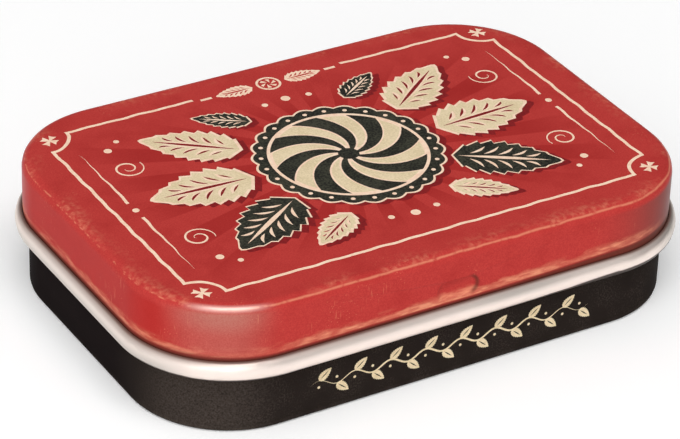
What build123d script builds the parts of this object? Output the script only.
from build123d import *
import math
import os

os.makedirs("parts", exist_ok=True)

# A pocket mint tin in millimetres: a drawn lid hinged on a drawn base.
# The origin is on the table under the middle of the tin, +Z is up, the hinge is
# at +Y and the thumb dimple at -Y. Both parts are tinplate of one thickness.

# Driving dimensions of the tin
lid_length = 60.7  # over the outside of the lid's skirt, along X
lid_width = 42.1  # over the outside of the lid's skirt, along Y
corner_radius = 11.1  # outside of the skirt, seen from above
tin_height = 14.4  # table to the top of the lid
sheet = 0.25  # tinplate thickness
bend_accuracy = 0.03  # how far the flats that draw a bend may stray from its arc
overrun = 1.0  # how far a cutter passes the metal that it cuts

# Lid
lid_depth = 8.0  # top of the lid to the lowest line of its hem
top_edge_radius = 1.1  # outside of the bend between top and skirt
hem_height = 2.1
hem_thickness = 1.05  # over both legs of the hem, the skirt being one of them
hem_face_turn = 90.0  # degrees that the hem's outer face is rounded through
hem_edge_gap = 0.06  # between the hem's cut edge and the skirt

# Thumb dimple, pressed into the front of the skirt
dimple_length = 4.8
dimple_height = 2.2
dimple_depth = 0.35
dimple_end_radius = 2.0  # how gently its two ends rise out of the skirt
dimple_above_hem = 1.7  # hem's top to the dimple's middle

# Base
body_gap = 0.32  # clearance between the skirt and the visible base wall
swing_clearance = 0.12  # least gap as the lid's front passes the base's rim
rim_clearance = 0.1  # underside of the lid to the top of the base's rim
rim_curl_diameter = 1.2
rim_curl_turn = 290.0  # degrees that the rim is curled in
neck_bend_radius = 0.8  # middle of the sheet, both bends of the neck
neck_start_above_hem = 0.9  # lowest line of the hem to the start of the neck
bottom_edge_radius = 0.5  # outside of the bend between bottom and wall
foot_width = 2.6  # flat ring that the tin stands on
panel_recess = 0.3  # bottom panel above the table
panel_bend_radius = 0.5  # middle of the sheet, both bends of the panel's step

# Hinge: two tongues of the lid hook through slots in the base's back wall
hinge_drop = 0.5  # lowest line of the hem down to the hinge axis
lid_opening = 105.0  # degrees
tongue_width = 7.0
tongue_spacing = 22.0  # middle to middle
tongue_margin = 14.0  # degrees left between the tongue's end and the wall
notch_gap = 0.4  # between a tongue and the cut ends of the hem
slot_clearance = 0.15  # above and below a tongue
slot_side_clearance = 0.25

# Places that follow from those sizes
hem_bottom = tin_height - lid_depth
hem_top = hem_bottom + hem_height
dimple_middle = hem_top + dimple_above_hem
body_inset = sheet + body_gap
base_length = lid_length - 2 * body_inset
base_width = lid_width - 2 * body_inset
base_corner_radius = corner_radius - body_inset
rim_top = tin_height - sheet - rim_clearance
hinge_y = base_width / 2 - sheet / 2
hinge_z = hem_bottom - hinge_drop
tongue_radius = body_gap + sheet  # middle of the sheet, about the hinge axis


def flat_count(radius, turn):
    """How many flats a bend is drawn with, so that none strays far from its arc."""
    widest = math.degrees(2 * math.acos(1 - bend_accuracy / radius))
    return math.ceil(abs(turn) / widest)


def bent_sheet(start, heading, steps):
    """Section of a sheet that starts at a point of its middle line and is then
    bent: a step is (length,) for a straight run, or (radius, turn) for a bend of
    the middle line, where a positive turn goes left."""
    x, y = start
    left_points = []
    right_points = []

    def mark_both_faces():
        across = math.radians(heading + 90)
        reach_x, reach_y = sheet / 2 * math.cos(across), sheet / 2 * math.sin(across)
        left_points.append((x + reach_x, y + reach_y))
        right_points.append((x - reach_x, y - reach_y))

    mark_both_faces()
    for step in steps:
        if len(step) == 1:
            flats, length, flat_turn = 1, step[0], 0
        else:
            radius, turn = step
            flats = flat_count(radius + sheet / 2, turn)
            flat_turn = turn / flats
            length = 2 * radius * math.sin(math.radians(abs(flat_turn) / 2))
        for _ in range(flats):
            heading += flat_turn / 2
            x += length * math.cos(math.radians(heading))
            y += length * math.sin(math.radians(heading))
            heading += flat_turn / 2
            mark_both_faces()
    return make_face(Polyline(*left_points, *reversed(right_points), close=True))


def side_plane(outward, along):
    """Plane of a section on the +X side, its x pointing out and its y up."""
    return Plane(origin=(outward, along, 0), x_dir=(1, 0, 0), z_dir=(0, -1, 0))


def ring(section, length, width, radius):
    """The section carried round a rounded rectangle, its x = 0 on the outline."""
    solids = []
    for quarter in range(4):
        across, along = (length, width) if quarter % 2 == 0 else (width, length)
        side_end = along / 2 - radius
        side = extrude(side_plane(across / 2, -side_end) * section, -2 * side_end)
        corner_axis = Axis((across / 2 - radius, side_end, 0), (0, 0, 1))
        corner = revolve(side_plane(across / 2, side_end) * section, corner_axis, 90)
        solids += [Rot(0, 0, 90 * quarter) * side, Rot(0, 0, 90 * quarter) * corner]
    return solids[0].fuse(*solids[1:])


def plate(length, width, radius, bottom):
    """A flat plate of the sheet with rounded corners."""
    return Pos(0, 0, bottom) * extrude(RectangleRounded(length, width, radius), sheet)


def step_bends(rise, radius):
    """The turn of two equal and opposite bends that shift the sheet by rise, and
    the length that the two take."""
    turn = math.degrees(math.acos(1 - rise / (2 * radius)))
    return turn, 2 * radius * math.sin(math.radians(turn))


def dimple_axis_distance():
    """How far outside the skirt's face the axis lies that the dimple is round about."""
    return (dimple_height**2 / 4 - dimple_depth**2) / (2 * dimple_depth)


def dimple_press(grow):
    """The body that presses the dimple, grown by that much: a bar that is round
    about the X axis, with rounded ends."""
    face = dimple_axis_distance() + dimple_depth
    end_radius = dimple_end_radius + grow
    end_run = math.sqrt(dimple_end_radius**2 - (dimple_end_radius - dimple_depth) ** 2)
    flat_end = dimple_length / 2 - end_run
    rise = math.degrees(math.asin((dimple_end_radius - dimple_depth) / end_radius))

    def end_point(angle):
        across = end_radius * math.cos(math.radians(angle))
        return flat_end + across, face - dimple_end_radius + end_radius * math.sin(math.radians(angle))

    (low_x, low_y), middle, high = end_point(rise), end_point((rise + 90) / 2), end_point(90)
    half = make_face([
        ThreePointArc((low_x, low_y), middle, high),
        Polyline(high, (0, high[1]), (0, 0), (low_x, 0), (low_x, low_y)),
    ])
    right = revolve(half, Axis.X, 360)
    return right + mirror(right, Plane.YZ)


def hem_radii():
    """Middle-line radii of the hem's tight bends and of its rounded outer face."""
    half_turn = math.radians(hem_face_turn / 2)
    rise, bulge = math.sin(half_turn), 1 - math.cos(half_turn)
    height, thickness = hem_height - sheet, hem_thickness - sheet
    difference = (height - thickness) / (2 * rise - bulge)
    tight = (thickness - bulge * difference) / 2
    return tight, tight + difference


def lid_section():
    """From the edge of the flat top, over the bend, down the skirt and round the
    hem, which is rolled outwards to a bead that is taller than it is thick."""
    tight, face = hem_radii()
    skirt_run = lid_depth - top_edge_radius - tight - sheet / 2
    edge_run = tight - sheet / 2 - hem_edge_gap
    start = (-top_edge_radius, tin_height - sheet / 2)
    steps = [
        (top_edge_radius - sheet / 2, -90),
        (skirt_run,),
        (tight, 180 - hem_face_turn / 2),
        (face, hem_face_turn),
        (tight, 90 - hem_face_turn / 2),
        (edge_run,),
    ]
    return bent_sheet(start, 0, steps)


def neck_gap():
    """Clearance between the skirt and the necked-in wall inside it. The lid's front
    swings up past the rim on an arc about the hinge, so its lowest edge and the
    dimple come nearer to the rim than they are when the tin is shut."""
    skirt_reach = hinge_y + base_width / 2 + body_gap
    rim_height = rim_top - rim_curl_diameter / 2 - hinge_z
    edge = (skirt_reach, hinge_drop)
    dimple = (skirt_reach - dimple_depth, dimple_middle - hinge_z)
    passing = [math.sqrt(reach**2 + height**2 - rim_height**2) for reach, height in (edge, dimple)]
    return skirt_reach - min(passing) + swing_clearance


def base_section():
    """From the recessed bottom panel, down to the foot, up the wall, in at the
    neck and round the rim, which is curled inwards."""
    panel_turn, panel_run = step_bends(panel_recess, panel_bend_radius)
    neck_turn, neck_run = step_bends(neck_gap() - body_gap, neck_bend_radius)
    neck_start = hem_bottom + neck_start_above_hem
    rim_radius = rim_curl_diameter / 2
    start = (-bottom_edge_radius - foot_width - panel_run, panel_recess + sheet / 2)
    steps = [
        (panel_bend_radius, -panel_turn),
        (panel_bend_radius, panel_turn),
        (foot_width,),
        (bottom_edge_radius - sheet / 2, 90),
        (neck_start - bottom_edge_radius,),
        (neck_bend_radius, neck_turn),
        (neck_bend_radius, -neck_turn),
        (rim_top - rim_radius - neck_start - neck_run,),
        (rim_radius - sheet / 2, rim_curl_turn),
    ]
    return bent_sheet(start, 0, steps), -start[0]


def tongue_places():
    return [side * tongue_spacing / 2 for side in (-1, 1)]


def hem_notch(middle):
    """What is cut from the hem and the lower skirt round one tongue."""
    width = tongue_width + 2 * notch_gap
    depth = sheet + hem_thickness + 2 * overrun
    height = hem_height + notch_gap + overrun
    low = (middle, lid_width / 2 - sheet - overrun, hem_bottom - overrun)
    return Pos(*low) * Box(width, depth, height, align=(Align.CENTER, Align.MIN, Align.MIN))


def tongue(middle):
    """One hinge tongue: straight on down from the skirt, then curled in round
    the hinge axis, as far as still clears the wall when the lid is open."""
    wall_angle = math.degrees(math.asin((sheet / 2) / (tongue_radius - sheet / 2)))
    hook = 180 - wall_angle - tongue_margin - lid_opening
    top = hem_top + notch_gap
    start = (hinge_y + tongue_radius, top)
    section = bent_sheet(start, -90, [(top - hinge_z,), (tongue_radius, -(90 + hook))])
    plane = Plane(origin=(middle + tongue_width / 2, 0, 0), x_dir=(0, 1, 0), z_dir=(1, 0, 0))
    return extrude(plane * section, -tongue_width)


def hinge_slot(middle):
    """What is cut from the base's back wall for one tongue."""
    width = tongue_width + 2 * slot_side_clearance
    inner = tongue_radius - sheet / 2 - slot_clearance
    outer = tongue_radius + sheet / 2 + slot_clearance
    place = Pos(middle, hinge_y, hinge_z - (inner + outer) / 2)
    return place * Box(width, sheet + overrun, outer - inner)


def make_lid():
    section = lid_section()
    flat = 2 * top_edge_radius
    top = plate(
        lid_length - flat, lid_width - flat, corner_radius - top_edge_radius, tin_height - sheet
    )
    shell = ring(section, lid_length, lid_width, corner_radius) + top
    for middle in tongue_places():
        shell = shell - hem_notch(middle) + tongue(middle)
    return dimpled(shell)


def dimpled(shell):
    """The shell with the thumb dimple pressed in, the sheet as thick there."""
    width = dimple_length + 2 * overrun
    height = dimple_height + 2 * overrun
    depth = dimple_depth + sheet + overrun

    def behind(distance):
        """Room for the dimple, from that distance behind the skirt's outer face."""
        place = Pos(0, distance - lid_width / 2, dimple_middle)
        return place * Box(width, depth, height, align=(Align.CENTER, Align.MIN, Align.CENTER))

    place = Pos(0, -lid_width / 2 - dimple_axis_distance(), dimple_middle)
    shell = shell + (place * dimple_press(sheet) & behind(sheet / 2))
    return shell - (place * dimple_press(0) & behind(0))


def make_base():
    section, flat = base_section()
    panel = plate(
        base_length - 2 * flat, base_width - 2 * flat, base_corner_radius - flat, panel_recess
    )
    shell = ring(section, base_length, base_width, base_corner_radius) + panel
    for middle in tongue_places():
        shell = shell - hinge_slot(middle)
    return shell


lid = make_lid()
base = make_base()
for name, part in {"lid": lid, "base": base}.items():
    part.label = name
    export_step(part, f"parts/{name}.step")

mouth_inset = sheet + neck_gap() + rim_curl_diameter
print("hinge axis at y", round(hinge_y, 3), "z", round(hinge_z, 3))
print("mouth", round(lid_length - 2 * mouth_inset, 2), "by", round(lid_width - 2 * mouth_inset, 2))
print("mouth corner radius", round(corner_radius - mouth_inset, 2), "neck gap", round(neck_gap(), 3))
